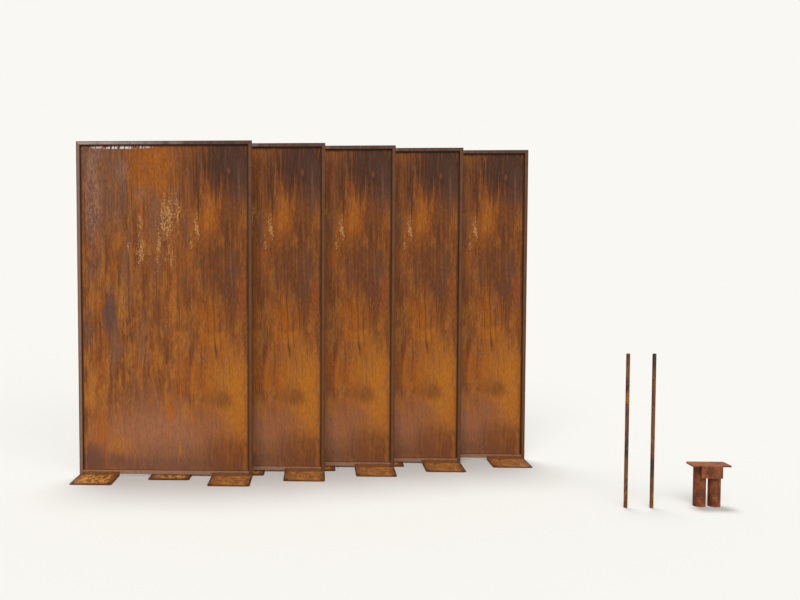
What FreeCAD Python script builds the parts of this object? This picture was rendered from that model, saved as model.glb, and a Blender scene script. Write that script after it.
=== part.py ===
import FreeCAD, Part
import math
import os
import Sketcher

# A set of garden privacy screens in weathering steel: identical welded screens that
# stand one behind another in echelon, with two ground stakes and a joiner lying ready
# beside them. Lengths are millimetres. +X runs along the screens from left to right,
# +Y runs from their front to their back and +Z is up. The origin is on the ground,
# under the middle of the whole set.

DIMENSIONS = (
    ("screen_count", 5, "screens in the set"),
    ("screen_width", 940, "outer width of one screen"),
    ("screen_height", 1800, "ground to the top of the frame"),
    ("tube_side", 20, "side of the square frame tube"),
    ("tube_wall", 1, "wall of the frame tube"),
    ("tube_radius", 2, "outer corner radius of the frame tube"),
    ("sheet_thickness", 2, "infill sheet"),
    ("sheet_recess", 12, "front of the frame back to the sheet"),
    ("rail_clearance", 4, "air between a foot plate and the bottom rail above it"),
    ("foot_width", 220, "foot plate along the screen"),
    ("foot_reach", 200, "foot plate forward of the frame"),
    ("foot_thickness", 4, "steel of the foot"),
    ("foot_bend_radius", 2, "inside radius of the foot's bend"),
    ("foot_leg_height", 21, "ground to the top of the foot's upright leg"),
    ("foot_relief", 2, "slot between the bend and the tongue before the stile"),
    ("foot_corner_radius", 12, "front corners of the foot plate"),
    ("foot_hole_diameter", 14, "fixing holes in the foot"),
    ("foot_hole_side", 16, "hole centre from the side of the foot"),
    ("foot_hole_front", 22, "hole centre from the front of the foot"),
    ("weld_leg", 2, "leg of every fillet weld"),
    ("weld_length", 40, "length of one stitch"),
    ("stile_stitches", 8, "stitches between the sheet and each stile"),
    ("rail_stitches", 4, "stitches between the sheet and each rail"),
    ("foot_stitches", 2, "stitches between each foot and the bottom rail"),
    ("nest_offset", 30, "next screen's left foot right of this screen's middle"),
    ("nest_gap", 4, "air between a stile's back and the foot behind it"),
    ("stake_clearance", 0.5, "stake diameter under the bore of the frame tube"),
    ("stake_length", 730, "ground stake"),
    ("stake_chamfer", 2, "both ends of a stake"),
    ("stake_across", 244, "last screen's right side to the first stake"),
    ("stake_pitch", 121, "between the two stakes"),
    ("stake_forward", 505, "stakes in front of the first screen"),
    ("joiner_width", 180, "saddle plate of the joiner, left to right"),
    ("joiner_thickness", 6, "steel of the saddle plate"),
    ("joiner_bend_radius", 3, "inside radius of the tab's bend"),
    ("joiner_tab_width", 98, "tab that hangs in front"),
    ("joiner_tab_height", 60, "top of the saddle to the bottom of the tab"),
    ("joiner_relief", 2, "slots beside the tab's bend"),
    ("joiner_clearance", 1, "throat of the joiner over the frame tube"),
    ("joiner_back_margin", 4, "saddle plate behind the tubes"),
    ("joiner_back_radius", 14, "back corners of the saddle plate"),
    ("joiner_front_radius", 6, "front corners of the saddle plate"),
    ("joiner_tube_diameter", 57, "round tubes under the saddle"),
    ("joiner_tube_wall", 3, "wall of the round tubes"),
    ("joiner_tube_length", 198, "round tubes, ground to the saddle"),
    ("joiner_tube_gap", 12, "air between the two round tubes"),
    ("joiner_across", 275, "second stake to the middle of the joiner"),
    ("joiner_forward", 460, "tubes' axes in front of the first screen"),
)

# Lengths that follow from the driving dimensions.
RAIL_LIFT = "(dims.foot_thickness + dims.rail_clearance)"
OPENING_WIDTH = "(dims.screen_width - 2 * dims.tube_side)"
OPENING_BOTTOM = f"({RAIL_LIFT} + dims.tube_side)"
OPENING_TOP = "(dims.screen_height - dims.tube_side)"
OPENING_HEIGHT = f"({OPENING_TOP} - {OPENING_BOTTOM})"
SHEET_BACK = "(dims.sheet_recess + dims.sheet_thickness)"
RIGHT_STILE = "(dims.screen_width - dims.tube_side)"
BORE_SIDE = "(dims.tube_side - 2 * dims.tube_wall)"

FOOT_BEND = "(dims.foot_thickness + dims.foot_bend_radius)"
FOOT_TONGUE = "(dims.tube_side + dims.foot_relief)"
FOOT_LEG_WIDTH = f"(dims.foot_width - {FOOT_TONGUE})"
RIGHT_FOOT = "(dims.screen_width - dims.foot_width)"

# Each screen's left foot lies under the screen in front, between that screen's own
# feet, and stops short of the stile of the screen in front of that one.
STEP_ACROSS = "((dims.screen_width - dims.foot_width) / 2 + dims.nest_offset)"
STEP_BACK = "((dims.foot_reach + dims.tube_side + dims.nest_gap) / 2)"
LAST_ACROSS = f"((dims.screen_count - 1) * {STEP_ACROSS})"
LAST_BACK = f"((dims.screen_count - 1) * {STEP_BACK})"

STAKE_DIAMETER = f"({BORE_SIDE} - dims.stake_clearance)"
STAKE_ACROSS = f"({LAST_ACROSS} + dims.screen_width + dims.stake_across)"

JOINER_BEND = "(dims.joiner_thickness + dims.joiner_bend_radius)"
JOINER_THROAT = "(dims.tube_side + dims.joiner_clearance)"
JOINER_NOSE = f"(dims.joiner_thickness + {JOINER_THROAT} + dims.joiner_tube_diameter / 2)"
JOINER_DEPTH = f"({JOINER_NOSE} + dims.joiner_tube_diameter / 2 + dims.joiner_back_margin)"
JOINER_WING = "((dims.joiner_width - dims.joiner_tab_width) / 2)"
JOINER_SPACING = "(dims.joiner_tube_diameter + dims.joiner_tube_gap)"
JOINER_ACROSS = f"({STAKE_ACROSS} + dims.stake_pitch + dims.joiner_across)"
JOINER_TAB_BOTTOM = "(dims.joiner_tube_length + dims.joiner_thickness - dims.joiner_tab_height)"

# The origin, seen from the front left corner of the first screen.
SET_RIGHT = f"({JOINER_ACROSS} + dims.joiner_width / 2)"
SET_FRONT = f"(-dims.joiner_forward - {JOINER_NOSE})"
SET_BACK = f"({LAST_BACK} + dims.tube_side)"
ORIGIN_ACROSS = f"({SET_RIGHT} / 2)"
ORIGIN_BACK = f"(({SET_FRONT} + {SET_BACK}) / 2)"

doc = FreeCAD.newDocument("garden_privacy_screens")
sheet = doc.addObject("Spreadsheet::Sheet", "dims")
for row, (alias, size, meaning) in enumerate(DIMENSIONS, start=1):
    sheet.set(f"A{row}", meaning)
    sheet.set(f"B{row}", str(size))
    sheet.setAlias(f"B{row}", alias)
doc.recompute()


def number(expression):
    """The present value of an expression over the sheet."""
    return float(sheet.evalExpression(str(expression)))


def new_body(label):
    body = doc.addObject("PartDesign::Body", label)
    body.Label = label
    return body


def place(body, across, back, up="0"):
    """Put a body's own origin at a point given from the first screen's front left corner."""
    body.setExpression(".Placement.Base.x", f"{across} - {ORIGIN_ACROSS}")
    body.setExpression(".Placement.Base.y", f"{back} - {ORIGIN_BACK}")
    body.setExpression(".Placement.Base.z", up)


def new_sketch(body, name, role, offset="0"):
    """A sketch on one of the body's origin planes, moved along that plane's normal."""
    sketch = body.newObject("Sketcher::SketchObject", name)
    support = [feature for feature in body.Origin.OriginFeatures if feature.Role == role]
    sketch.AttachmentSupport = (support[0], [""])
    sketch.MapMode = "FlatFace"
    sketch.setExpression(".AttachmentOffset.Base.z", offset)
    return sketch


def bind(sketch, constraint, expression):
    """Add a dimension to a sketch and tie it to the sheet."""
    index = sketch.addConstraint(constraint)
    name = f"size_{index}"
    sketch.renameConstraint(index, name)
    sketch.setExpression(f"Constraints.{name}", expression)


def hold(sketch, curve, end, axis, expression):
    """Hold one coordinate of a curve's end at an expression, or on the sketch's axis at 0."""
    value = number(expression)
    if str(expression) == "0":
        crossing_axis = {"X": -2, "Y": -1}[axis]
        sketch.addConstraint(Sketcher.Constraint("PointOnObject", curve, end, crossing_axis))
    else:
        constraint = Sketcher.Constraint(f"Distance{axis}", -1, 1, curve, end, value)
        bind(sketch, constraint, expression)


def triangle(sketch, corners):
    """A closed triangle through three corners, each a pair of expressions."""
    points = [FreeCAD.Vector(number(x), number(y), 0) for x, y in corners]
    lines = []
    for start, stop in zip(points, points[1:] + points[:1]):
        lines.append(sketch.addGeometry(Part.LineSegment(start, stop)))
    for line, following in zip(lines, lines[1:] + lines[:1]):
        sketch.addConstraint(Sketcher.Constraint("Coincident", line, 2, following, 1))
    for line, (x, y) in zip(lines, corners):
        hold(sketch, line, 1, "X", x)
        hold(sketch, line, 1, "Y", y)


def outline(sketch, corners):
    """A closed outline of level and upright lines.

    Each corner is (x, y) or (x, y, radius), all expressions. A corner with a radius is
    an arc that meets both of its lines tangentially.
    """
    count = len(corners)
    points = [FreeCAD.Vector(number(corner[0]), number(corner[1]), 0) for corner in corners]
    radii = [number(corner[2]) if len(corner) > 2 else 0 for corner in corners]
    along = []
    for index in range(count):
        along.append((points[(index + 1) % count] - points[index]).normalize())
    lines = []
    for index in range(count):
        following = (index + 1) % count
        start = points[index] + along[index] * radii[index]
        stop = points[following] - along[index] * radii[following]
        line = sketch.addGeometry(Part.LineSegment(start, stop))
        lines.append(line)
        level = abs(along[index].x) > abs(along[index].y)
        sketch.addConstraint(Sketcher.Constraint("Horizontal" if level else "Vertical", line))
        if level:
            hold(sketch, line, 1, "Y", corners[index][1])
        else:
            hold(sketch, line, 1, "X", corners[index][0])
    for index in range(count):
        before = lines[index - 1]
        after = lines[index]
        if not radii[index]:
            sketch.addConstraint(Sketcher.Constraint("Coincident", before, 2, after, 1))
            continue
        inward = along[index] - along[index - 1]
        centre = points[index] + inward * radii[index]
        turns_left = along[index - 1].cross(along[index]).z > 0
        first = -along[index] if turns_left else along[index - 1]
        last = along[index - 1] if turns_left else -along[index]
        circle = Part.Circle(centre, FreeCAD.Vector(0, 0, 1), radii[index])
        start_angle = math.atan2(first.y, first.x)
        stop_angle = math.atan2(last.y, last.x)
        arc = sketch.addGeometry(Part.ArcOfCircle(circle, start_angle, stop_angle))
        arc_in, arc_out = (1, 2) if turns_left else (2, 1)
        sketch.addConstraint(Sketcher.Constraint("Tangent", before, 2, arc, arc_in))
        sketch.addConstraint(Sketcher.Constraint("Tangent", arc, arc_out, after, 1))
        bind(sketch, Sketcher.Constraint("Radius", arc, radii[index]), corners[index][2])


def rectangle(sketch, left, bottom, right, top):
    outline(sketch, ((left, bottom), (right, bottom), (right, top), (left, top)))


def circle_at(sketch, x, y, diameter):
    circle = Part.Circle(
        FreeCAD.Vector(number(x), number(y), 0), FreeCAD.Vector(0, 0, 1), number(diameter) / 2
    )
    curve = sketch.addGeometry(circle)
    bind(sketch, Sketcher.Constraint("Diameter", curve, number(diameter)), diameter)
    hold(sketch, curve, 3, "X", x)
    hold(sketch, curve, 3, "Y", y)


def pad(body, sketch, name, length, reverse=False):
    feature = body.newObject("PartDesign::Pad", name)
    feature.Profile = sketch
    feature.setExpression("Length", length)
    feature.Reversed = reverse
    return feature


def cut_through(body, sketch, name):
    """A pocket through the whole body, both ways from its sketch."""
    feature = body.newObject("PartDesign::Pocket", name)
    feature.Profile = sketch
    feature.Type = "ThroughAll"
    feature.SideType = "Symmetric"
    return feature


def repeat(body, feature, name, direction, run, count):
    """Repeat a feature along a sketch axis; run is from the first copy to the last."""
    pattern = body.newObject("PartDesign::LinearPattern", name)
    pattern.Originals = [feature]
    pattern.Direction = direction
    pattern.setExpression("Length", run)
    pattern.setExpression("Occurrences", count)
    body.Tip = pattern
    return pattern


def round_edges(body, base, name, radius, chosen):
    """Round the upright edges of the base feature whose (x, y) passes the test."""
    doc.recompute()
    names = []
    for index, edge in enumerate(base.Shape.Edges, start=1):
        box = edge.BoundBox
        upright = box.XLength < 0.001 and box.YLength < 0.001
        if upright and chosen(box.Center.x, box.Center.y):
            names.append(f"Edge{index}")
    fillet = body.newObject("PartDesign::Fillet", name)
    fillet.Base = (base, names)
    fillet.setExpression("Radius", radius)
    return fillet


def square_tube(body, role, length):
    """The frame's square tube from the body's origin, along the normal of a plane."""
    section = new_sketch(body, "section", role)
    outer = "dims.tube_side"
    inner_low = "dims.tube_wall"
    inner_high = "dims.tube_side - dims.tube_wall"
    for low, high, radius in (
        ("0", outer, "dims.tube_radius"),
        (inner_low, inner_high, "dims.tube_radius - dims.tube_wall"),
    ):
        outline(
            section,
            ((low, low, radius), (high, low, radius), (high, high, radius), (low, high, radius)),
        )
    return pad(body, section, "tube", length)


def stile(label, outer_side):
    """Upright of the frame, open at the ground and mitred inwards at the top."""
    body = new_body(label)
    square_tube(body, "XY_Plane", "dims.screen_height")
    mitre = new_sketch(body, "mitre", "XZ_Plane")
    outer, inner = ("0", "dims.tube_side") if outer_side == "left" else ("dims.tube_side", "0")
    triangle(
        mitre,
        ((outer, "dims.screen_height"), (inner, "dims.screen_height"), (inner, OPENING_TOP)),
    )
    cut_through(body, mitre, "mitre_cut")
    return body


def top_rail(label):
    body = new_body(label)
    square_tube(body, "YZ_Plane", "dims.screen_width")
    ends = new_sketch(body, "mitres", "XZ_Plane")
    triangle(ends, (("0", "0"), ("dims.tube_side", "0"), ("0", "dims.tube_side")))
    triangle(
        ends,
        (("dims.screen_width", "0"), ("dims.screen_width", "dims.tube_side"), (RIGHT_STILE, "0")),
    )
    cut_through(body, ends, "mitre_cuts")
    return body


def bottom_rail(label):
    body = new_body(label)
    square_tube(body, "YZ_Plane", OPENING_WIDTH)
    return body


def infill_sheet(label):
    body = new_body(label)
    face = new_sketch(body, "face", "XZ_Plane")
    rectangle(face, "0", "0", OPENING_WIDTH, OPENING_HEIGHT)
    pad(body, face, "sheet", "dims.sheet_thickness", reverse=True)
    return body


def foot(label, outer_side):
    """Plate foot bent up in front of the bottom rail.

    Its own origin is at its front left corner. On the outer side a flat tongue runs past
    the bend to the front of the stile.
    """
    body = new_body(label)
    on_left = outer_side == "left"

    def across(distance):
        """A distance from the foot's outer side, as a place along the foot."""
        return distance if on_left else f"dims.foot_width - {distance}"

    bent = new_sketch(body, "bent_section", "YZ_Plane", FOOT_TONGUE if on_left else "0")
    leg_front = "dims.foot_reach - dims.foot_thickness"
    outline(
        bent,
        (
            ("0", "0"),
            ("dims.foot_reach", "0", FOOT_BEND),
            ("dims.foot_reach", "dims.foot_leg_height"),
            (leg_front, "dims.foot_leg_height"),
            (leg_front, "dims.foot_thickness", "dims.foot_bend_radius"),
            ("0", "dims.foot_thickness"),
        ),
    )
    pad(body, bent, "plate_and_leg", FOOT_LEG_WIDTH)

    plan = new_sketch(body, "tongue_plan", "XY_Plane")
    bend_line = f"dims.foot_reach - {FOOT_BEND}"
    outer_edge = "0" if on_left else "dims.foot_width"
    outline(
        plan,
        (
            (outer_edge, "0"),
            (across(FOOT_TONGUE), "0"),
            (across(FOOT_TONGUE), bend_line),
            (across("dims.tube_side"), bend_line),
            (across("dims.tube_side"), "dims.foot_reach"),
            (outer_edge, "dims.foot_reach"),
        ),
    )
    tongue = pad(body, plan, "tongue", "dims.foot_thickness")

    width = number("dims.foot_width")

    def at_front_corner(x, y):
        return abs(y) < 0.001 and (abs(x) < 0.001 or abs(x - width) < 0.001)

    round_edges(body, tongue, "front_corners", "dims.foot_corner_radius", at_front_corner)

    hole = new_sketch(body, "hole", "XY_Plane")
    circle_at(hole, "dims.foot_hole_side", "dims.foot_hole_front", "dims.foot_hole_diameter")
    drilled = cut_through(body, hole, "fixing_hole")
    between = "dims.foot_width - 2 * dims.foot_hole_side"
    repeat(body, drilled, "fixing_holes", (hole, ["H_Axis"]), between, "2")
    return body


def stitches(body, name, role, corners, start, run, count, length="dims.weld_length"):
    """Fillet welds of one length, evenly spaced along a run."""
    lead = f"{start} + ({run} / {count} - {length}) / 2"
    section = new_sketch(body, f"{name}_section", role, lead)
    triangle(section, corners)
    bead = pad(body, section, f"{name}_bead", length)
    between = f"{run} * ({count} - 1) / {count}"
    return repeat(body, bead, name, (section, ["N_Axis"]), between, count)


def fillet_corners(x, y, x_leg, y_leg):
    """Section of a fillet weld in the corner (x, y); each leg is '+' or '-'."""
    return ((x, y), (f"{x} {x_leg} dims.weld_leg", y), (x, f"{y} {y_leg} dims.weld_leg"))


def screen_welds(label):
    """All the stitches of one screen, measured from its front left corner."""
    body = new_body(label)
    for name, corner, leg in (
        ("left_stile", "dims.tube_side", "+"),
        ("right_stile", RIGHT_STILE, "-"),
    ):
        section = fillet_corners(corner, SHEET_BACK, leg, "+")
        stitches(
            body, name, "XY_Plane", section, OPENING_BOTTOM, OPENING_HEIGHT, "dims.stile_stitches"
        )
    for name, corner, leg in (("bottom_rail", OPENING_BOTTOM, "+"), ("top_rail", OPENING_TOP, "-")):
        section = fillet_corners(SHEET_BACK, corner, "+", leg)
        stitches(
            body, name, "YZ_Plane", section, "dims.tube_side", OPENING_WIDTH, "dims.rail_stitches"
        )
    leg_section = fillet_corners("0", "dims.foot_leg_height", "-", "+")
    for name, start in (("left_foot", FOOT_TONGUE), ("right_foot", RIGHT_FOOT)):
        stitches(
            body, name, "YZ_Plane", leg_section, start, FOOT_LEG_WIDTH, "dims.foot_stitches"
        )
    tongue_section = fillet_corners("0", "dims.foot_thickness", "-", "+")
    flat_of_tube = "(dims.tube_side - 2 * dims.tube_radius)"
    for name, start in (("left_tongue", "0"), ("right_tongue", RIGHT_STILE)):
        stitches(
            body, name, "YZ_Plane", tongue_section, start, "dims.tube_side", "1", flat_of_tube
        )
    return body


def stake(label):
    body = new_body(label)
    section = new_sketch(body, "section", "XY_Plane")
    circle_at(section, "0", "0", STAKE_DIAMETER)
    bar = pad(body, section, "bar", "dims.stake_length")
    doc.recompute()
    ends = []
    for index, edge in enumerate(bar.Shape.Edges, start=1):
        if edge.BoundBox.ZLength < 0.001:
            ends.append(f"Edge{index}")
    chamfer = body.newObject("PartDesign::Chamfer", "end_chamfers")
    chamfer.Base = (bar, ends)
    chamfer.setExpression("Size", "dims.stake_chamfer")
    return body


def joiner_plate(label):
    """Saddle plate with a tab bent down at the front, from the tab's bottom left."""
    body = new_body(label)
    under_plate = "dims.joiner_tab_height - dims.joiner_thickness"
    bent = new_sketch(body, "bent_section", "YZ_Plane", JOINER_WING)
    outline(
        bent,
        (
            ("0", "0"),
            ("dims.joiner_thickness", "0"),
            ("dims.joiner_thickness", under_plate, "dims.joiner_bend_radius"),
            (JOINER_DEPTH, under_plate),
            (JOINER_DEPTH, "dims.joiner_tab_height"),
            ("0", "dims.joiner_tab_height", JOINER_BEND),
        ),
    )
    pad(body, bent, "tab_and_saddle", "dims.joiner_tab_width")
    for name, side in (("left_wing", "left"), ("right_wing", "right")):
        plan = new_sketch(body, f"{name}_plan", "XY_Plane", under_plate)
        on_left = side == "left"
        outer_edge = "0" if on_left else "dims.joiner_width"
        root = JOINER_WING if on_left else f"dims.joiner_width - {JOINER_WING}"
        lip = f"{root} {'-' if on_left else '+'} dims.joiner_relief"
        outline(
            plan,
            (
                (outer_edge, "0"),
                (lip, "0"),
                (lip, JOINER_BEND),
                (root, JOINER_BEND),
                (root, JOINER_DEPTH),
                (outer_edge, JOINER_DEPTH),
            ),
        )
        wing = pad(body, plan, name, "dims.joiner_thickness")
    width = number("dims.joiner_width")
    depth = number(JOINER_DEPTH)

    def at_side(x):
        return abs(x) < 0.001 or abs(x - width) < 0.001

    back = round_edges(
        body,
        wing,
        "back_corners",
        "dims.joiner_back_radius",
        lambda x, y: at_side(x) and abs(y - depth) < 0.001,
    )
    round_edges(
        body,
        back,
        "front_corners",
        "dims.joiner_front_radius",
        lambda x, y: at_side(x) and abs(y) < 0.001,
    )
    return body


def joiner_tube(label):
    body = new_body(label)
    section = new_sketch(body, "section", "XY_Plane")
    circle_at(section, "0", "0", "dims.joiner_tube_diameter")
    circle_at(section, "0", "0", "dims.joiner_tube_diameter - 2 * dims.joiner_tube_wall")
    pad(body, section, "tube", "dims.joiner_tube_length")
    return body


def joiner_welds(label):
    """A ring weld around the top of each round tube, from the left tube's axis."""
    body = new_body(label)
    section = new_sketch(body, "section", "XZ_Plane")
    wall = "dims.joiner_tube_diameter / 2"
    triangle(section, fillet_corners(wall, "dims.joiner_tube_length", "+", "-"))
    ring = body.newObject("PartDesign::Revolution", "ring")
    ring.Profile = section
    ring.ReferenceAxis = (section, ["V_Axis"])
    ring.Angle = 360
    repeat(body, ring, "rings", (section, ["H_Axis"]), JOINER_SPACING, "2")
    return body


for screen in range(int(number("dims.screen_count"))):
    prefix = f"screen_{screen + 1}"
    left = f"{screen} * {STEP_ACROSS}"
    front = f"{screen} * {STEP_BACK}"
    foot_front = f"{front} - dims.foot_reach"
    place(
        infill_sheet(f"{prefix}_sheet"),
        f"{left} + dims.tube_side",
        f"{front} + dims.sheet_recess",
        OPENING_BOTTOM,
    )
    place(stile(f"{prefix}_left_stile", "left"), left, front)
    place(stile(f"{prefix}_right_stile", "right"), f"{left} + {RIGHT_STILE}", front)
    place(top_rail(f"{prefix}_top_rail"), left, front, OPENING_TOP)
    place(bottom_rail(f"{prefix}_bottom_rail"), f"{left} + dims.tube_side", front, RAIL_LIFT)
    place(foot(f"{prefix}_left_foot", "left"), left, foot_front)
    place(foot(f"{prefix}_right_foot", "right"), f"{left} + {RIGHT_FOOT}", foot_front)
    place(screen_welds(f"{prefix}_welds"), left, front)

for index in range(2):
    across = f"{STAKE_ACROSS} + {index} * dims.stake_pitch"
    place(stake(f"stake_{index + 1}"), across, "-dims.stake_forward")

left_tube = f"{JOINER_ACROSS} - {JOINER_SPACING} / 2"
right_tube = f"{JOINER_ACROSS} + {JOINER_SPACING} / 2"
tube_line = "-dims.joiner_forward"
place(
    joiner_plate("joiner_plate"),
    f"{JOINER_ACROSS} - dims.joiner_width / 2",
    SET_FRONT,
    JOINER_TAB_BOTTOM,
)
place(joiner_tube("joiner_left_tube"), left_tube, tube_line)
place(joiner_tube("joiner_right_tube"), right_tube, tube_line)
place(joiner_welds("joiner_welds"), left_tube, tube_line)

doc.recompute()

for item in doc.Objects:
    if "Invalid" in item.State or "Error" in item.State:
        raise RuntimeError(f"{item.Label} is {item.State}")
    if item.TypeId == "Sketcher::SketchObject" and not item.FullyConstrained:
        raise RuntimeError(f"sketch {item.Label} is not fully constrained")
    if item.TypeId == "PartDesign::Pocket" and item.Shape.Volume >= item.BaseFeature.Shape.Volume:
        raise RuntimeError(f"pocket {item.Label} cuts nothing")

os.makedirs("parts", exist_ok=True)
for body in doc.findObjects("PartDesign::Body"):
    shape = body.Shape
    if shape.isNull() or not shape.isValid() or not shape.Solids:
        raise RuntimeError(f"{body.Label} has no valid solid")
    shape.exportStep(os.path.join("parts", f"{body.Label}.step"))
    print(body.Label, len(shape.Solids), "solids", round(shape.Volume), "mm3")
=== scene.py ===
import math
import bmesh
import bpy
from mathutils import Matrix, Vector


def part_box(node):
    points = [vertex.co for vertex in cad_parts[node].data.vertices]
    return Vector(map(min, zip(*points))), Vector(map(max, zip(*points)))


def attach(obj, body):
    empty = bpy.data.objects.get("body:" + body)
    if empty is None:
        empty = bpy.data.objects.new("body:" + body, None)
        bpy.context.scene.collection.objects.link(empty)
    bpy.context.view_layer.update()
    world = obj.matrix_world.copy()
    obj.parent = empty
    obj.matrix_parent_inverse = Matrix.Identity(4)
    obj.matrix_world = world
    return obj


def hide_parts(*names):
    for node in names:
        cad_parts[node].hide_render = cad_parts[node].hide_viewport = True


# The looks of the garden privacy screen set: the rust of the sheets, frames, feet, stakes
# and joiner, rippled weld beads, the pale studio and the camera. Metres, unless said.

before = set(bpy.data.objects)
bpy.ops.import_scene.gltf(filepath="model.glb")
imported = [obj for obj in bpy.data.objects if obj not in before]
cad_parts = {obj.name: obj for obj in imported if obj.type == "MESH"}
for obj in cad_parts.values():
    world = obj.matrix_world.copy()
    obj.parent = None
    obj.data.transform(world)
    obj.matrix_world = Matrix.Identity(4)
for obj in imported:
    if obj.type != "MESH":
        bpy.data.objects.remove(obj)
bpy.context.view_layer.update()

SCREEN_COUNT = 5
CM = 0.01
MM = 0.001


def colour(red, green, blue):
    """A colour written as 8-bit sRGB, as the linear RGBA that shaders take."""
    linear = []
    for byte in (red, green, blue):
        share = byte / 255
        linear.append(share / 12.92 if share <= 0.04045 else ((share + 0.055) / 1.055) ** 2.4)
    return (*linear, 1.0)


# Shades of the weathered steel.
SHADES = {
    "umber": colour(74, 43, 28),
    "bark": colour(106, 59, 28),
    "purple": colour(98, 66, 55),
    "mauve": colour(120, 80, 58),
    "grey_mauve": colour(136, 103, 90),
    "rose": colour(150, 97, 68),
    "rust": colour(143, 80, 29),
    "red_rust": colour(156, 78, 34),
    "orange": colour(162, 90, 18),
    "ochre": colour(168, 105, 36),
    "golden": colour(178, 107, 22),
    "sand": colour(192, 140, 86),
    "dust": colour(176, 136, 116),
    # a painted highlight
    "glint": colour(240, 226, 220),
    # painted shadow and dirt in a sheet's recess along the frame
    "shadow_and_dirt": colour(58, 31, 15),
    # painted shade where a frame tube meets the recessed sheet
    "recess_shade": colour(66, 38, 22),
    "foot_rust": colour(174, 110, 56),
    "foot_gold": colour(226, 162, 76),
    "foot_bend": colour(112, 66, 32),
    "burnt": colour(84, 62, 56),
    "weld_rust": colour(140, 84, 48),
}

# Shades of the frame's tubes, at the left and at the right of a screen.
STILE_SHADES = (colour(138, 104, 84), colour(100, 62, 28))
# The top rail's pale left shade is a painted reflection, a sheen.
TOP_RAIL_SHADES_AND_SHEEN = (colour(168, 149, 143), colour(78, 56, 42))
BOTTOM_RAIL_SHADES = (colour(158, 118, 94), colour(150, 110, 84))

# Dark, light and bright shades of the loose pieces.
STAKE_SHADES = (colour(72, 46, 32), colour(122, 78, 44), colour(164, 108, 44))
JOINER_SHADES = (colour(100, 53, 31), colour(143, 80, 46), colour(166, 92, 50))

# Patches of rust on a screen's sheet, in centimetres from the screen's lower left corner:
# shade, centre across, centre up, half width, half height, strength.
RUST_PATCHES = (
    # upper part
    ("mauve", 14, 157, 16, 28, 0.85),
    ("orange", 41, 165, 13, 18, 0.75),
    ("bark", 60, 166, 6, 16, 0.45),
    ("umber", 83, 168, 18, 14, 1.0),
    ("umber", 74, 156, 3, 9, 0.7),
    ("purple", 88, 160, 5, 12, 0.6),
    ("grey_mauve", 8.5, 170, 3.5, 7, 0.7),
    ("grey_mauve", 24.5, 165, 4, 6, 0.6),
    ("grey_mauve", 35, 153, 2.5, 5, 0.55),
    ("rose", 11, 142, 1.6, 22, 0.6),
    ("mauve", 42, 141, 4, 13, 0.75),
    ("purple", 53, 151, 3, 8, 0.6),
    ("umber", 65, 149, 2.2, 10, 0.8),
    ("bark", 81, 142, 8, 17, 0.7),
    ("orange", 72, 143, 5, 16, 1.0),
    ("golden", 71, 141, 2.4, 9, 0.7),
    ("mauve", 58, 134, 3, 10, 0.5),
    ("orange", 63, 133, 2.4, 14, 0.6),
    # middle
    ("bark", 78, 112, 12, 17, 0.65),
    ("purple", 84, 107, 5, 15, 0.5),
    ("rust", 54, 108, 9, 17, 0.8),
    ("ochre", 13, 112, 2.4, 9, 0.8),
    ("purple", 9, 115, 4, 9, 0.7),
    ("mauve", 26, 112, 4, 12, 0.6),
    ("mauve", 43, 117, 3, 14, 0.5),
    ("bark", 58.5, 99, 3, 10, 0.7),
    ("purple", 17, 89, 4, 13, 0.95),
    ("purple", 9, 132, 4, 10, 0.6),
    ("purple", 24, 150, 5, 9, 0.45),
    ("mauve", 20, 69, 2.8, 12, 0.85),
    ("ochre", 24, 91, 4, 9, 0.8),
    ("mauve", 33.5, 73, 3.2, 12, 0.7),
    ("mauve", 28, 99, 2.2, 12, 0.6),
    ("ochre", 51, 91, 2.2, 8, 0.6),
    ("orange", 71, 83, 6, 13, 0.9),
    ("red_rust", 88.3, 99.5, 1.4, 9, 0.6),
    ("ochre", 7.5, 96, 1.8, 12, 0.7),
    ("purple", 4.5, 81, 2.6, 14, 0.7),
    ("ochre", 5, 64, 2.2, 5, 0.6),
    ("bark", 63, 76, 3, 12, 0.4),
)

# Patches with softer rims in the lower part, in the same form.
SOFT_PATCHES = (
    ("orange", 79, 48, 13, 26, 0.85),
    ("golden", 75.5, 73.5, 4.5, 4, 0.8),
    ("ochre", 82, 46, 10, 26, 0.7),
    ("golden", 85.5, 44, 5, 23, 0.7),
    ("bark", 75, 42, 8, 4.5, 0.45),
    ("bark", 79, 40, 5, 3.5, 0.4),
    ("mauve", 73, 30, 5, 5, 0.4),
    ("ochre", 6.8, 46, 2.8, 11, 0.9),
    ("rose", 43, 20, 34, 20, 0.9),
    ("purple", 45, 6, 46, 4, 0.6),
    ("mauve", 34, 44, 12, 10, 0.35),
    ("mauve", 52, 10, 24, 8, 0.5),
    ("orange", 49.8, 39, 2.2, 9, 0.8),
    ("orange", 62.5, 54, 2.2, 10, 0.75),
    ("ochre", 59, 34, 3, 6, 0.5),
    ("orange", 12, 25, 2.6, 11, 0.75),
    ("ochre", 22, 17, 6, 6, 0.6),
    ("purple", 7, 9, 6, 7, 0.85),
    ("purple", 20, 9, 5, 3.5, 0.5),
    ("ochre", 54.8, 14, 1.4, 3.4, 0.7),
    ("bark", 80, 11, 14, 10, 0.5),
)

# Dark stains that lie over the streaks, in the same form.
STAINS = (
    ("umber", 83, 170, 17, 14, 0.8),
    ("purple", 89, 158, 5, 16, 0.5),
    ("umber", 74, 158, 2.6, 9, 0.6),
    ("mauve", 8, 166, 5, 18, 0.35),
    ("purple", 18, 88, 3, 12, 0.5),
)

# Centre across, centre up, half width and half height, in the same centimetres, of a small
# spot of fresh rust, a veil of pale dust at the upper left and a line of glints, painted
# highlights, under the top rail.
SPOT = (81.5, 164.3, 1.0, 2.2)
VEIL = (8.5, 152, 5, 32)
GLINTS = (24, 176.9, 20, 1.1)

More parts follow.
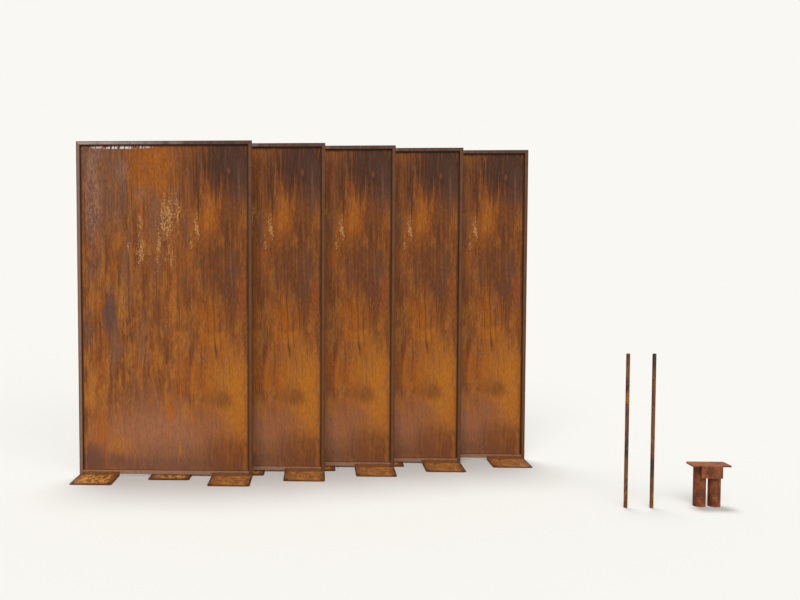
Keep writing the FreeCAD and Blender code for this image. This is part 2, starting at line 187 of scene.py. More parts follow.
# Crusts of pale deposit, alike.
DEPOSITS = (
    (49.5, 138, 3.6, 17),
    (53.5, 143, 1.8, 11),
    (46.5, 141, 1.6, 15),
    (43.5, 125, 1.5, 15),
    (34, 136, 1.8, 5.5),
    (34, 122, 3.4, 9),
    (26.5, 124.5, 1.7, 1.8),
    (64.8, 133, 2.2, 9),
    (61, 124.5, 0.9, 7),
    (50, 118, 3, 4),
)

# Share of a patch that has its full strength.
HARD_CORE = 0.6
SOFT_CORE = 0.4

# Water has drawn and torn the patches more in the upper part: the heights between which
# that sets in.
TEARING_HEIGHTS = (0.4, 1.1)

# Waves of noise a metre through the thickness of a sheet, and how far aside of a piece a
# second, unlike noise is taken from.
WAVES_THROUGH = 60
ASIDE = (3.1, 0, 1.7)
LOOSE_ASIDE = (1.3, 0.4, 2.9)

# Fine grain of each finish: waves a metre and strength.
GRAIN = {
    "sheet": (420, 0.2),
    "tube": (500, 0.2),
    "foot": (420, 0.25),
    "loose": (420, 0.22),
    "weld": (700, 0.2),
}

# How deep the relief of each finish is, and how much of it the light shows.
RELIEF = {
    "sheet": 0.8 * MM,
    "tube": 0.4 * MM,
    "foot": 0.6 * MM,
    "loose": 0.5 * MM,
    "weld": 0.2 * MM,
}
RELIEF_SHOWN = 0.6

# Painted shadow and dirt on a sheet in the recess along the frame: how far it reaches from each
# edge.
SHADOW_AND_DIRT_LEFT = 11 * MM
SHADOW_AND_DIRT_RIGHT = 12 * MM
SHADOW_AND_DIRT_FOOT = 6 * MM
SHADOW_AND_DIRT_TOP = 15 * MM

# Dark lines of painted shade along a frame: inward from its outer edge, where the tube rounds
# away, and short of its inner edge, beside the recessed sheet.
OUTER_SHADE_LINE = (2 * MM, 7 * MM)
INNER_SHADE_LINE = (6 * MM, 1 * MM)

# Feet: the distances from a plate's rim at which the dark edge of painted shade ends and the
# gold begins, the middles of the holes, the dark rings round them, and where the bend
# begins, measured from the frame's front.
FOOT_EDGE_SHADE = (4 * MM, 14 * MM)
FOOT_GOLD = (15 * MM, 50 * MM)
FOOT_LEFT_TO_RIGHT = (0.2, 0.7)
FOOT_BEND = (-9 * MM, -4 * MM)
HOLE_FROM_SIDE = 16 * MM
HOLE_FROM_FRONT = 22 * MM
HOLE_RING = (9 * MM, 14 * MM)

# Weld beads: pitch, depth and lean of the ripples, steps round and along a bead, how far
# from its ends a stitch is thinner and what share of its size is left there, and how near
# to each other two points are one, or lie in the same end.
RIPPLE_PITCH = 3.2 * MM
RIPPLE_DEPTH = 0.13
RIPPLE_LEAN = 0.35
ROUND_STEPS = 6
STATION_STEP = 0.5 * MM
LEAST_STATIONS = 8
STITCH_END = 3 * MM
STITCH_END_SHARE = 0.55
SAME_POINT = 0.001 * MM
SAME_END = 0.01 * MM

# The set in the photograph is lit as in a pale studio.
BACKGROUND = colour(249, 248, 243)
WORLD_LIGHT = 0.30
FLOOR_BOUNCE = 0.42
FLOOR_HALF_SIZE = 60
# name: azimuth (0 is in front of the set, + is to the right), elevation, strength, spread
SUNS = {
    "key": (-7, 42, 1.72, 40),
    "side_fill": (40, 24, 0.5, 40),
    "overhead": (-168, 77, 1.9, 20),
}

# The photograph's camera, found from the corners of the screens and feet. It looks down and
# to the left by the two angles, in radians. Sensor and lens are in millimetres.
CAMERA_PLACE = (-0.321, -4.49825, 1.1675)
CAMERA_DOWN = 0.0471
CAMERA_LEFT = 0.0358
CAMERA_SENSOR = 36
CAMERA_LENS = 38.25
CAMERA_SHIFT = 0.14
CAMERA_RANGE = 200


class Tree:
    """Writes a node tree: each method adds nodes and gives back the output to use."""

    def __init__(self, tree):
        self.tree = tree

    def add(self, kind, inputs=None, output=0, **settings):
        made = self.tree.nodes.new(kind)
        for name, value in settings.items():
            setattr(made, name, value)
        for name, value in (inputs or {}).items():
            if isinstance(value, bpy.types.NodeSocket):
                self.tree.links.new(value, made.inputs[name])
            else:
                made.inputs[name].default_value = value
        return made.outputs[output] if made.outputs else None

    def math(self, operation, first, second=0.0, third=0.0):
        inputs = {0: first, 1: second, 2: third}
        return self.add("ShaderNodeMath", inputs, operation=operation)

    def vector(self, operation, first, second):
        return self.add("ShaderNodeVectorMath", {0: first, 1: second}, operation=operation)

    def length(self, vector):
        return self.add("ShaderNodeVectorMath", {0: vector}, output=1, operation="LENGTH")

    def mix(self, share, first, second, blend="MIX"):
        inputs = {0: share, 6: first, 7: second}
        return self.add("ShaderNodeMix", inputs, output=2, data_type="RGBA", blend_type=blend)

    def rise(self, value, low, high, start=0.0, stop=1.0):
        """A soft step from start, where value is low, to stop, where it is high."""
        inputs = {0: value, 1: low, 2: high, 3: start, 4: stop}
        return self.add("ShaderNodeMapRange", inputs, interpolation_type="SMOOTHSTEP")

    def scaled(self, vector, x, y, z):
        return self.vector("MULTIPLY", vector, (x, y, z))

    def noise(self, vector, detail=3.0, roughness=0.55, distortion=0.0):
        """Noise about 0.5, one wave per unit of the vector."""
        inputs = {
            "Vector": vector,
            "Scale": 1.0,
            "Detail": detail,
            "Roughness": roughness,
            "Distortion": distortion,
        }
        return self.add("ShaderNodeTexNoise", inputs)

    def streaks(self, place, across, up, **settings):
        """Noise on a sheet, with so many waves a metre across it and up it."""
        return self.noise(self.scaled(place, across, WAVES_THROUGH, up), **settings)

    def centred(self, noise):
        """Noise about 0, from noise about 0.5."""
        return self.math("SUBTRACT", noise, 0.5)

    def lit(self, base, light):
        """A colour times a brightness."""
        return self.mix(1.0, base, self.join(light, light, light), "MULTIPLY")

    def split(self, vector):
        made = self.tree.nodes.new("ShaderNodeSeparateXYZ")
        self.tree.links.new(vector, made.inputs[0])
        return made.outputs

    def join(self, x, y, z):
        return self.add("ShaderNodeCombineXYZ", {0: x, 1: y, 2: z})


def new_material(name):
    material = bpy.data.materials.new(name)
    material.use_nodes = True
    material.node_tree.nodes.clear()
    return material, Tree(material.node_tree)


def finish_material(tree, base, roughness, height, relief, specular=0.25):
    """Close a material with one shader: relief is the depth of the bump in metres."""
    inputs = {"Strength": RELIEF_SHOWN, "Distance": relief, "Height": height}
    bump = tree.add("ShaderNodeBump", inputs)
    inputs = {
        "Base Color": base,
        "Roughness": roughness,
        "Normal": bump,
        "Specular IOR Level": specular,
    }
    shader = tree.add("ShaderNodeBsdfPrincipled", inputs)
    tree.add("ShaderNodeOutputMaterial", {"Surface": shader})


def local_point(tree, corner):
    """The place on the set, measured from a corner of one of its pieces."""
    place = tree.add("ShaderNodeTexCoord", output="Object")
    return tree.vector("SUBTRACT", place, tuple(corner))


def speckled(tree, base, place, finish):
    """A colour with the fine grain of a finish, and the grain itself."""
    waves, strength = GRAIN[finish]
    fine = tree.noise(tree.scaled(place, waves, waves, waves), detail=4, roughness=0.7)
    light = tree.rise(fine, 0.25, 0.75, 1 - strength, 1 + strength)
    return tree.lit(base, light), fine


def patch(tree, drawn, centre_across, centre_up, half_width, half_height):
    """How far a place is from the middle of a patch: 1 at its rim."""
    stretch = (1 / (half_width * CM), 1 / (half_height * CM), 0)
    shift = (-centre_across / half_width, -centre_up / half_height, 0)
    inputs = {0: drawn, 1: stretch, 2: shift}
    return tree.length(tree.add("ShaderNodeVectorMath", inputs, operation="MULTIPLY_ADD"))


def laid_over(tree, base, patches, drawn, torn, core):
    """The colour with each of some patches over it, their rims torn by streaks.

    core is the share of a patch that has its full strength.
    """
    for shade, centre_across, centre_up, half_width, half_height, strength in patches:
        rim = patch(tree, drawn, centre_across, centre_up, half_width, half_height)
        rim = tree.math("ADD", rim, torn)
        base = tree.mix(tree.rise(rim, core, 1.9 - core, strength, 0.0), base, SHADES[shade])
    return base


def drawn_out(tree, place, across, up):
    """The flat place on a sheet, swayed and drawn out into upright drips."""
    drips = tree.streaks(place, 105, 2.4, detail=4, roughness=0.7)
    sway = tree.streaks(place, 20, 8, detail=4, roughness=0.65)
    pull = tree.rise(up, *TEARING_HEIGHTS, 0.12, 0.36)
    drawn_up = tree.math("MULTIPLY_ADD", tree.centred(drips), pull, up)
    drawn_across = tree.math("MULTIPLY_ADD", tree.centred(sway), 0.07, across)
    return tree.join(drawn_across, drawn_up, 0.0)


def sheet_ground(tree, place):
    """The streaky rust between the patches, and the place aside for more noise."""
    ground = tree.streaks(place, 34, 2.6, detail=4, roughness=0.6, distortion=0.4)
    base = tree.mix(tree.rise(ground, 0.34, 0.6), SHADES["bark"], SHADES["rust"])
    aside = tree.vector("ADD", place, ASIDE)
    mottle = tree.streaks(aside, 19, 8, detail=6, roughness=0.72, distortion=0.2)
    base = tree.mix(tree.rise(mottle, 0.48, 0.62, 0.0, 0.65), base, SHADES["ochre"])
    base = tree.mix(tree.rise(mottle, 0.47, 0.35, 0.0, 0.5), base, SHADES["bark"])
    return base, aside


def tearing(tree, place, up):
    """How far streaks tear the rims of the patches."""
    torn = tree.streaks(place, 85, 3.5, detail=4, roughness=0.7)
    tear = tree.rise(up, *TEARING_HEIGHTS, 0.9, 2.4)
    return tree.math("MULTIPLY", tree.centred(torn), tear)


def bloomed(tree, base, place, aside, streaky):
    """Mauve bloom and bright rust in streaks, and the noise of the bloom."""
    bloom = tree.streaks(place, 46, 6, detail=5, roughness=0.65, distortion=0.6)
    share = tree.math("MULTIPLY", tree.rise(bloom, 0.53, 0.66, 0.0, 0.6), streaky)
    base = tree.mix(share, base, SHADES["mauve"])
    rich = tree.streaks(aside, 62, 4, detail=5, roughness=0.65, distortion=0.4)
    share = tree.math("MULTIPLY", tree.rise(rich, 0.53, 0.66, 0.0, 0.7), streaky)
    return tree.mix(share, base, SHADES["orange"]), bloom


def bent_aside(tree, aside, across, depth, up):
    """The place on a sheet, bent so that fine lines lean more towards the foot."""
    bent = tree.centred(tree.streaks(aside, 6, 5, detail=0))
    bent = tree.math("MULTIPLY", bent, tree.rise(up, 0.3, 1.3, 0.06, 0.01))
    return tree.join(tree.math("ADD", across, bent), depth, up)


def with_runs(tree, base, wavy, aside, streaky):
    """Long thin runs, bright and dark, that come and go."""
    runs = tree.streaks(wavy, 140, 2.6, detail=5, roughness=0.68, distortion=0.2)
    fade = tree.rise(tree.streaks(aside, 9, 4, detail=2), 0.38, 0.6, 0.2, 1.0)
    fade = tree.math("MULTIPLY", fade, streaky)
    bright_runs = tree.math("MULTIPLY", tree.rise(runs, 0.55, 0.64, 0.0, 0.8), fade)
    base = tree.mix(bright_runs, base, SHADES["ochre"])
    dark_runs = tree.math("MULTIPLY", tree.rise(runs, 0.46, 0.37, 0.0, 0.9), fade)
    return tree.mix(dark_runs, base, SHADES["umber"])


def tinted(tree, base, across, up, side):
    """Brighter towards the foot of the sheet, darker and warmer at the upper right."""
    low = tree.rise(up, 0.2, 1.1, 0.09, 0.0)
    low_left = tree.math("MULTIPLY", low, tree.rise(across, 0.75, 0.5))
    lift = tree.math("ADD", tree.rise(up, 0.25, 1.1, 1.06, 0.97), low_left)
    tint = [
        tree.math("MULTIPLY", lift, tree.math("MULTIPLY_ADD", side, slope, start))
        for slope, start in ((-0.12, 1.0), (-0.16, 0.97), (-0.26, 0.9))
    ]
    return tree.mix(1.0, base, tree.join(*tint), "MULTIPLY")


def crusted(tree, base, place, drawn):
    """Pale crusts that break up into specks, and the share of them at a place."""
    crust = None
    for centre_across, centre_up, half_width, half_height in DEPOSITS:
        share = patch(tree, drawn, centre_across, centre_up, half_width, half_height)
        share = tree.rise(share, 0.2, 1.25, 1.0, 0.0)
        crust = share if crust is None else tree.math("MAXIMUM", crust, share)
    specks = tree.streaks(place, 165, 95, detail=2, roughness=0.55)
    worn = tree.rise(tree.math("MULTIPLY_ADD", crust, 0.255, specks), 0.7, 0.77, 0.0, 0.85)
    worn = tree.math("MULTIPLY", worn, tree.rise(crust, 0.0, 0.15))
    return tree.mix(worn, base, SHADES["sand"]), worn


def dust_and_painted_glints(tree, base, place, drawn, flat, lines):
    """Pale dust at the upper left, and glints under the top rail, which are painted highlights.
    """
    veil = tree.rise(patch(tree, drawn, *VEIL), 0.2, 1.3, 0.5, 0.0)
    dust = tree.math("MULTIPLY", veil, tree.rise(lines, 0.46, 0.62))
    base = tree.mix(dust, base, SHADES["dust"])
    # Painted highlights: a dotted line of glints under the top rail.
    trim = tree.rise(patch(tree, flat, *GLINTS), 0.5, 1.1, 1.0, 0.0)
    dashes = tree.streaks(place, 120, 40, detail=1)
    glints = tree.math("MULTIPLY", trim, tree.rise(dashes, 0.44, 0.54))
    return tree.mix(glints, base, SHADES["glint"])


def sheet_rust():
    """The rust of one sheet, with its painted glints, as a node group: place on the screen to
    colour and relief.

    Noise is in waves a metre, and heights and widths are in metres.
    """
    group = bpy.data.node_groups.new("sheet_rust", "ShaderNodeTree")
    group.interface.new_socket("Place", in_out="INPUT", socket_type="NodeSocketVector")
    group.interface.new_socket("Color", in_out="OUTPUT", socket_type="NodeSocketColor")
    group.interface.new_socket("Height", in_out="OUTPUT", socket_type="NodeSocketFloat")
    group.interface.new_socket("Roughness", in_out="OUTPUT", socket_type="NodeSocketFloat")
    tree = Tree(group)
    place = tree.add("NodeGroupInput")
    across, depth, up = tree.split(place)

    drawn = drawn_out(tree, place, across, up)
    base, aside = sheet_ground(tree, place)
    torn = tearing(tree, place, up)
    base = laid_over(tree, base, RUST_PATCHES, drawn, torn, HARD_CORE)
    base = laid_over(tree, base, SOFT_PATCHES, drawn, torn, SOFT_CORE)

    # The sheet is streakier in its upper part, but not at the upper right.
    side = tree.math("MULTIPLY", tree.rise(across, 0.5, 0.8), tree.rise(up, 0.5, 1.1))
    calm = tree.math("MULTIPLY_ADD", side, -0.5, 1.0)
    streaky = tree.math("MULTIPLY", tree.rise(up, 0.15, 0.8, 0.3, 1.0), calm)
    base, bloom = bloomed(tree, base, place, aside, streaky)
    wavy = bent_aside(tree, aside, across, depth, up)
    base = with_runs(tree, base, wavy, aside, streaky)
    base = laid_over(tree, base, STAINS, drawn, torn, HARD_CORE)

    flat = tree.join(across, up, 0.0)
    spot = tree.math("MULTIPLY_ADD", torn, 0.4, patch(tree, flat, *SPOT))
    base = tree.mix(tree.rise(spot, 0.3, 1.3, 0.55, 0.0), base, SHADES["rose"])

    # Short fine lines, fainter towards the foot.
    lines = tree.streaks(wavy, 190, 42, detail=4, roughness=0.75)
    shading = tree.rise(lines, 0.3, 0.7, -0.3, 0.27)
    shading = tree.math("MULTIPLY_ADD", shading, tree.rise(up, 0.1, 0.9, 0.6, 1.0), 1.0)
    base, _ = speckled(tree, tree.lit(base, shading), place, "sheet")

    base = tinted(tree, base, across, up, side)
    base, worn = crusted(tree, base, place, drawn)
    base = dust_and_painted_glints(tree, base, place, drawn, flat, lines)
    height = tree.math("MULTIPLY_ADD", worn, 0.6, lines)
    roughness = tree.rise(bloom, 0.4, 0.7, 0.78, 0.6)
    tree.add("NodeGroupOutput", {"Color": base, "Height": height, "Roughness": roughness})
    return group


def paint(names, material):
    """Give CAD nodes a material."""
    for name in names:
        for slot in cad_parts[name].material_slots:
            slot.material = material


def screen_corner(number):
    """Lower left front corner of a screen's frame."""
    low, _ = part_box(f"screen_{number}_left_stile")
    return Vector(low)


def sheet_material(number, group):
    """A sheet: the rust that all share, and the painted shadow and dirt along the frame."""
    material, tree = new_material(f"rusted_sheet_and_shadow_{number}")
    place = local_point(tree, screen_corner(number))
    rust = material.node_tree.nodes.new("ShaderNodeGroup")
    rust.node_tree = group
    material.node_tree.links.new(place, rust.inputs["Place"])
    base = rust.outputs["Color"]

    low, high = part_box(f"screen_{number}_sheet")
    corner = screen_corner(number)
    across, _, up = tree.split(place)
    # Painted shadow and dirt: darker in the recess along the frame, furthest under the top rail.
    for value, edge, reach in (
        (across, low[0] - corner[0], SHADOW_AND_DIRT_LEFT),
        (across, high[0] - corner[0], -SHADOW_AND_DIRT_RIGHT),
        (up, low[2] - corner[2], SHADOW_AND_DIRT_FOOT),
        (up, high[2] - corner[2], -SHADOW_AND_DIRT_TOP),
    ):
        near, far = (0.9, 0.0) if reach > 0 else (0.0, 0.9)
        share = tree.rise(value, *sorted((edge, edge + reach)), near, far)
        base = tree.mix(share, base, SHADES["shadow_and_dirt"])
    finish_material(
        tree, base, rust.outputs["Roughness"], rust.outputs["Height"], RELIEF["sheet"]
    )
    return material


def tube_material(name, number, left, right, edges):
    """Frame tubes, from one shade at the left of a screen to another at its right.

    edges gives the frame's outer and inner lines, where the tubes are darker with painted shade.
    """
    material, tree = new_material(f"{name}_{number}")
    corner = screen_corner(number)
    place = local_point(tree, corner)
    across, _, up = tree.split(place)
    blotch = tree.noise(tree.scaled(place, 14, 14, 9), detail=5, roughness=0.6)
    leaning = tree.math("MULTIPLY_ADD", tree.centred(blotch), 0.9, across)
    # On the top rails the pale left shade is a painted reflection.
    base = tree.mix(tree.rise(leaning, 0.0, 0.75), left, right)
    rusty = tree.noise(tree.scaled(place, 60, 60, 22), detail=4, roughness=0.65)
    base = tree.mix(tree.rise(rusty, 0.5, 0.72, 0.0, 0.5), base, SHADES["rust"])
    base = tree.mix(tree.rise(rusty, 0.46, 0.3, 0.0, 0.5), base, SHADES["umber"])
    if edges:
        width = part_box(f"screen_{number}_right_stile")[1][0] - corner[0]
        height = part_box(f"screen_{number}_right_stile")[1][2]
        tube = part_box(f"screen_{number}_left_stile")[1][0] - corner[0]
        sides = tree.math("MINIMUM", across, tree.math("SUBTRACT", width, across))
        inward = tree.math("MINIMUM", sides, tree.math("SUBTRACT", height, up))
        # Painted shade along the tube's rounded outer edge and along its inner edge by the
        # recessed sheet.
        base = tree.mix(tree.rise(inward, *OUTER_SHADE_LINE, 0.75, 0.0), base, SHADES["umber"])
        inner = [tube - short for short in INNER_SHADE_LINE]
        base = tree.mix(tree.rise(inward, *inner, 0.0, 0.85), base, SHADES["recess_shade"])
    base, grain = speckled(tree, base, place, "tube")
    roughness = tree.rise(blotch, 0.35, 0.65, 0.5, 0.75)
    finish_material(tree, base, roughness, grain, RELIEF["tube"], specular=0.3)
    return material


def foot_material(number):
    """Feet: golden in the middle of each plate, dark with painted shade along its edges, and
    dark round its holes.
    """
    material, tree = new_material(f"rusted_foot_and_shade_{number}")
    place = local_point(tree, screen_corner(number))
    across, depth, _ = tree.split(place)
    blotch = tree.noise(tree.scaled(place, 24, 24, 24), detail=5, roughness=0.65, distortion=0.4)
    base = tree.mix(tree.rise(blotch, 0.34, 0.6), SHADES["bark"], SHADES["foot_rust"])

    low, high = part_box(f"screen_{number}_left_foot")
    corner = screen_corner(number)
    middle = (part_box(f"screen_{number}_right_foot")[1][0] - low[0]) / 2
    foot_width = high[0] - low[0]
    reach = corner[1] - low[1]
    from_middle = tree.math("ABSOLUTE", tree.math("SUBTRACT", across, middle))
    from_side = tree.math("SUBTRACT", middle, from_middle)
    other_side = tree.math("SUBTRACT", from_middle, middle - foot_width)
    from_front = tree.math("ADD", depth, reach)
    rim = tree.math("MINIMUM", tree.math("MINIMUM", from_side, other_side), from_front)

    # The right foot is browner than the left one.
    browner = tree.rise(across, *FOOT_LEFT_TO_RIGHT, 0.55, 0.1)
    base = tree.mix(browner, base, SHADES["bark"])
    fire = tree.noise(tree.scaled(place, 50, 22, 50), detail=6, roughness=0.78)
    middle_bright = tree.rise(rim, *FOOT_GOLD)
    bright = tree.rise(across, *FOOT_LEFT_TO_RIGHT, 0.95, 0.35)
    bright = tree.math("MULTIPLY", bright, middle_bright)
    share = tree.math("MULTIPLY", tree.rise(fire, 0.45, 0.56), bright)
    base = tree.mix(share, base, SHADES["foot_gold"])
    # Painted shade along the plate's edges.
    base = tree.mix(tree.rise(rim, *FOOT_EDGE_SHADE, 0.9, 0.0), base, SHADES["umber"])
    to_hole = tree.join(
        tree.math("SUBTRACT", tree.math("MINIMUM", from_side, other_side), HOLE_FROM_SIDE),
        tree.math("SUBTRACT", from_front, HOLE_FROM_FRONT),
        0.0,
    )
    ring = tree.rise(tree.length(to_hole), *HOLE_RING, 0.9, 0.0)
    base = tree.mix(ring, base, SHADES["umber"])
    base = tree.mix(tree.rise(depth, *FOOT_BEND, 0.0, 0.85), base, SHADES["foot_bend"])
    base, grain = speckled(tree, base, place, "foot")
    roughness = tree.rise(blotch, 0.3, 0.7, 0.6, 0.8)
    finish_material(tree, base, roughness, grain, RELIEF["foot"])
    return material


def loose_material(name, dark, light, bright, stretch):
    """Stakes and joiner: dark and light blotches, with bright rust between them."""
    material, tree = new_material(name)
    place = tree.add("ShaderNodeTexCoord", output="Object")
    blotch = tree.noise(tree.scaled(place, 16, 16, 16 * stretch), detail=5, roughness=0.65)
    base = tree.mix(tree.rise(blotch, 0.4, 0.6), dark, light)
    aside = tree.vector("ADD", place, LOOSE_ASIDE)
    rusty = tree.noise(tree.scaled(aside, 40, 40, 40 * stretch), detail=4, roughness=0.65)
    base = tree.mix(tree.rise(rusty, 0.52, 0.64, 0.0, 0.8), base, bright)
    pits = tree.noise(tree.scaled(aside, 190, 190, 120), detail=3, roughness=0.6)
    base = tree.mix(tree.rise(pits, 0.44, 0.34, 0.0, 0.55), base, SHADES["umber"])
    base, grain = speckled(tree, base, place, "loose")
    roughness = tree.rise(blotch, 0.3, 0.7, 0.6, 0.8)
    finish_material(tree, base, roughness, grain, RELIEF["loose"])
    return material


def weld_material():
    """Weld beads: burnt steel with a little rust."""
    material, tree = new_material("weld_bead")
    place = tree.add("ShaderNodeTexCoord", output="Object")
    heat = tree.noise(tree.scaled(place, 90, 90, 90), detail=3)
    base = tree.mix(tree.rise(heat, 0.4, 0.62), SHADES["burnt"], SHADES["weld_rust"])
    base, grain = speckled(tree, base, place, "weld")
    roughness = tree.rise(heat, 0.3, 0.7, 0.45, 0.7)
    finish_material(tree, base, roughness, grain, RELIEF["weld"])
    return material


def loose_parts(mesh):
    """The points of each separate solid in a mesh, in the same order each run."""
    shape = bmesh.new()
    shape.from_mesh(mesh)
    bmesh.ops.remove_doubles(shape, verts=shape.verts, dist=SAME_POINT)
    left = dict.fromkeys(shape.verts)
    parts = []
    while left:
        stack = [left.popitem()[0]]
        part = []
        while stack:
            point = stack.pop()
            part.append(point.co.copy())
            for edge in point.link_edges:
                other = edge.other_vert(point)
                if other in left:
                    del left[other]
                    stack.append(other)
        parts.append(part)
    shape.free()
    return parts


def bead_rings(corners, swell):
    """Sections of a rippled bead.

    corners gives each station's corner point and its two legs; swell is the share of the
    full size there.
    """
    rings = []
    for station, (corner, first, second) in enumerate(corners):
        ring = [corner]
        for step in range(ROUND_STEPS + 1):
            turn = math.pi / 2 * step / ROUND_STEPS
            phase = station * STATION_STEP / RIPPLE_PITCH + RIPPLE_LEAN * math.sin(2 * turn)
            ripple = 1 - RIPPLE_DEPTH * (0.5 + 0.5 * math.cos(2 * math.pi * phase))
            reach = swell[station] * (ripple if 0 < step < ROUND_STEPS else 1)
            ring.append(corner + (first * math.cos(turn) + second * math.sin(turn)) * reach)
        rings.append(ring)
    return rings


def skin(shape, rings, closed):
    """Faces over the rings of a bead, with caps unless it closes on itself."""
    points = [[shape.verts.new(point) for point in ring] for ring in rings]
    pairs = list(zip(points, points[1:]))
    if closed:
        pairs.append((points[-1], points[0]))
    count = len(points[0])
    for ring, following in pairs:
        for index in range(count):
            other = (index + 1) % count
            shape.faces.new((ring[index], ring[other], following[other], following[index]))
    if not closed:
        shape.faces.new(points[0])
        shape.faces.new(reversed(points[-1]))


def straight_bead(shape, part):
    """One stitch in the space of its plain three-sided solid."""
    spans = [max(p[axis] for p in part) - min(p[axis] for p in part) for axis in range(3)]
    along = spans.index(max(spans))
    start = min(p[along] for p in part)
    stop = max(p[along] for p in part)
    # The bead grows from the first point of the solid's end, which is its inner corner only
    # in some stitches: the others come out as flat fillets.
    corner, first, second = [p for p in part if p[along] - start < SAME_END]
    stations = max(LEAST_STATIONS, round((stop - start) / STATION_STEP))
    corners = []
    swell = []
    for station in range(stations + 1):
        share = station / stations
        place = corner.copy()
        place[along] = start + (stop - start) * share
        corners.append((place, first - corner, second - corner))
        from_end = min(1, min(share, 1 - share) * (stop - start) / STITCH_END)
        fullness = math.sin(from_end * math.pi / 2)
        swell.append(STITCH_END_SHARE + (1 - STITCH_END_SHARE) * fullness)
    skin(shape, bead_rings(corners, swell), closed=False)


def ring_bead(shape, part):
    """One ring weld round the top of a tube, in the space of its plain solid."""
    low = Vector([min(p[axis] for p in part) for axis in range(3)])
    high = Vector([max(p[axis] for p in part) for axis in range(3)])
    leg = high[2] - low[2]
    radius = (high[0] - low[0]) / 2 - leg
    middle = (low + high) / 2
    stations = round(2 * math.pi * radius / RIPPLE_PITCH) * round(RIPPLE_PITCH / STATION_STEP)
    corners = []
    for station in range(stations):
        angle = 2 * math.pi * station / stations
        outward = Vector((math.cos(angle), math.sin(angle), 0))
        corner = Vector((middle[0], middle[1], high[2])) + outward * radius
        corners.append((corner, outward * leg, Vector((0, 0, -leg))))
    skin(shape, bead_rings(corners, [1.0] * stations), closed=True)


def weld_beads(node, bead, material):
    """Rippled beads in place of a node of plain welds."""
    shape = bmesh.new()
    for part in loose_parts(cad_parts[node].data):
        bead(shape, part)
    bmesh.ops.recalc_face_normals(shape, faces=shape.faces)
    mesh = bpy.data.meshes.new(f"{node}_beads")
    shape.to_mesh(mesh)
    shape.free()
    for face in mesh.polygons:
        face.use_smooth = True
    mesh.materials.append(material)
    piece = bpy.data.objects.new(f"{node}_beads", mesh)
    bpy.context.scene.collection.objects.link(piece)
    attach(piece, "root")
    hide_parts(node)


def toward(azimuth, elevation):
    """The direction from the set to a lamp, both angles in degrees."""
    turn, lift = math.radians(azimuth), math.radians(elevation)
    return Vector(
        (math.sin(turn) * math.cos(lift), -math.cos(turn) * math.cos(lift), math.sin(lift))
    )


def seen_ray(tree):
    """1 for rays that show the background: to the camera, or by gloss or glass."""
    path = tree.tree.nodes.new("ShaderNodeLightPath").outputs
    gloss = tree.math("MAXIMUM", path["Is Glossy Ray"], path["Is Transmission Ray"])
    return tree.math("MAXIMUM", path["Is Camera Ray"], gloss)


def light_studio():
    """The lamps and the world, and the light that they give to open floor."""
    on_floor = WORLD_LIGHT
    for name, (azimuth, elevation, strength, spread) in SUNS.items():
        lamp = bpy.data.lights.new(name, "SUN")
        lamp.energy = strength
        lamp.angle = math.radians(spread)
        sun = bpy.data.objects.new(name, lamp)
        sun.rotation_euler = toward(azimuth, elevation).to_track_quat("Z", "Y").to_euler()
        bpy.context.scene.collection.objects.link(sun)
        on_floor += strength * math.sin(math.radians(elevation)) / math.pi

    world = bpy.data.worlds.new("studio")
    bpy.context.scene.world = world
    world.use_nodes = True
    world.node_tree.nodes.clear()
    tree = Tree(world.node_tree)
    light = tree.add("ShaderNodeBackground", {0: (1, 1, 1, 1), 1: WORLD_LIGHT})
    seen = tree.add("ShaderNodeBackground", {0: BACKGROUND, 1: 1.0})
    shown = tree.add("ShaderNodeMixShader", {0: seen_ray(tree), 1: light, 2: seen})
    tree.add("ShaderNodeOutputWorld", {"Surface": shown})
    return on_floor


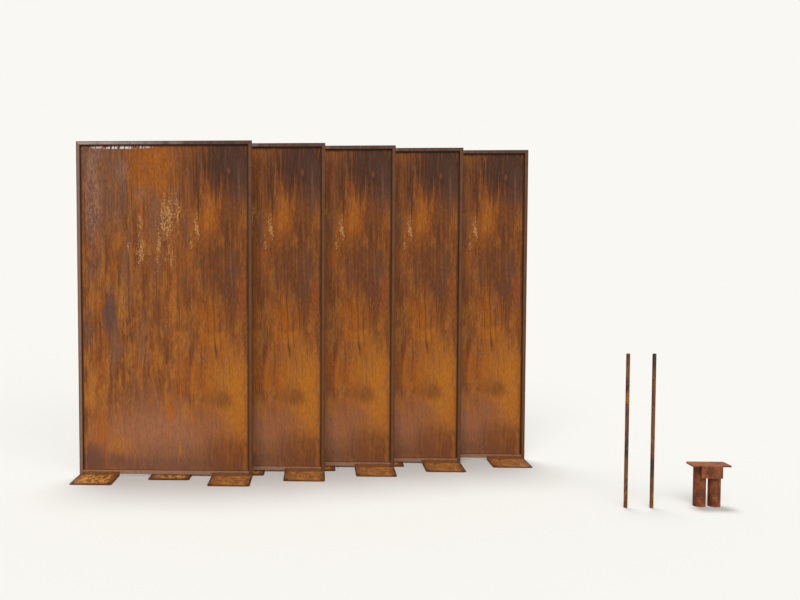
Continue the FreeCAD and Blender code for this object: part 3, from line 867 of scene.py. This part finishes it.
def lay_floor(on_floor):
    """A pale floor that takes the set's shadow and, unshaded, is the background's colour."""
    material, tree = new_material("pale_floor")
    pale = tuple(part / on_floor for part in BACKGROUND[:3]) + (1.0,)
    dull = tree.add("ShaderNodeBsdfDiffuse", {0: (FLOOR_BOUNCE,) * 3 + (1.0,)})
    bright = tree.add("ShaderNodeBsdfDiffuse", {0: pale})
    shown = tree.add("ShaderNodeMixShader", {0: seen_ray(tree), 1: dull, 2: bright})
    tree.add("ShaderNodeOutputMaterial", {"Surface": shown})
    mesh = bpy.data.meshes.new("floor")
    half = FLOOR_HALF_SIZE
    corners = [(-half, -half, 0), (half, -half, 0), (half, half, 0), (-half, half, 0)]
    mesh.from_pydata(corners, [], [(0, 1, 2, 3)])
    mesh.materials.append(material)
    floor = bpy.data.objects.new("floor", mesh)
    bpy.context.scene.collection.objects.link(floor)


def set_camera():
    """The photograph's camera."""
    data = bpy.data.cameras.new("camera")
    data.sensor_width = CAMERA_SENSOR
    data.lens = CAMERA_LENS
    data.shift_x = CAMERA_SHIFT
    data.clip_end = CAMERA_RANGE
    camera = bpy.data.objects.new("camera", data)
    camera.location = CAMERA_PLACE
    camera.rotation_euler = (math.pi / 2 - CAMERA_DOWN, 0, CAMERA_LEFT)
    bpy.context.scene.collection.objects.link(camera)
    bpy.context.scene.camera = camera


rust_group = sheet_rust()
for number in range(1, SCREEN_COUNT + 1):
    screen = f"screen_{number}"
    paint([f"{screen}_sheet"], sheet_material(number, rust_group))
    stiles = tube_material("rusted_frame", number, *STILE_SHADES, edges=True)
    paint([f"{screen}_left_stile", f"{screen}_right_stile"], stiles)
    top = tube_material("rusted_top_sheen_and_shade", number, *TOP_RAIL_SHADES_AND_SHEEN, edges=True)
    paint([f"{screen}_top_rail"], top)
    bottom = tube_material("rusted_rail", number, *BOTTOM_RAIL_SHADES, edges=False)
    paint([f"{screen}_bottom_rail"], bottom)
    paint([f"{screen}_left_foot", f"{screen}_right_foot"], foot_material(number))
paint(["stake_1", "stake_2"], loose_material("rusted_bar", *STAKE_SHADES, stretch=0.5))
joiner = loose_material("rusted_joiner", *JOINER_SHADES, stretch=0.8)
paint(["joiner_plate", "joiner_left_tube", "joiner_right_tube"], joiner)

bead_finish = weld_material()
for number in range(1, SCREEN_COUNT + 1):
    weld_beads(f"screen_{number}_welds", straight_bead, bead_finish)
weld_beads("joiner_welds", ring_bead, bead_finish)

lay_floor(light_studio())
set_camera()

bpy.context.scene.view_settings.view_transform = "Standard"
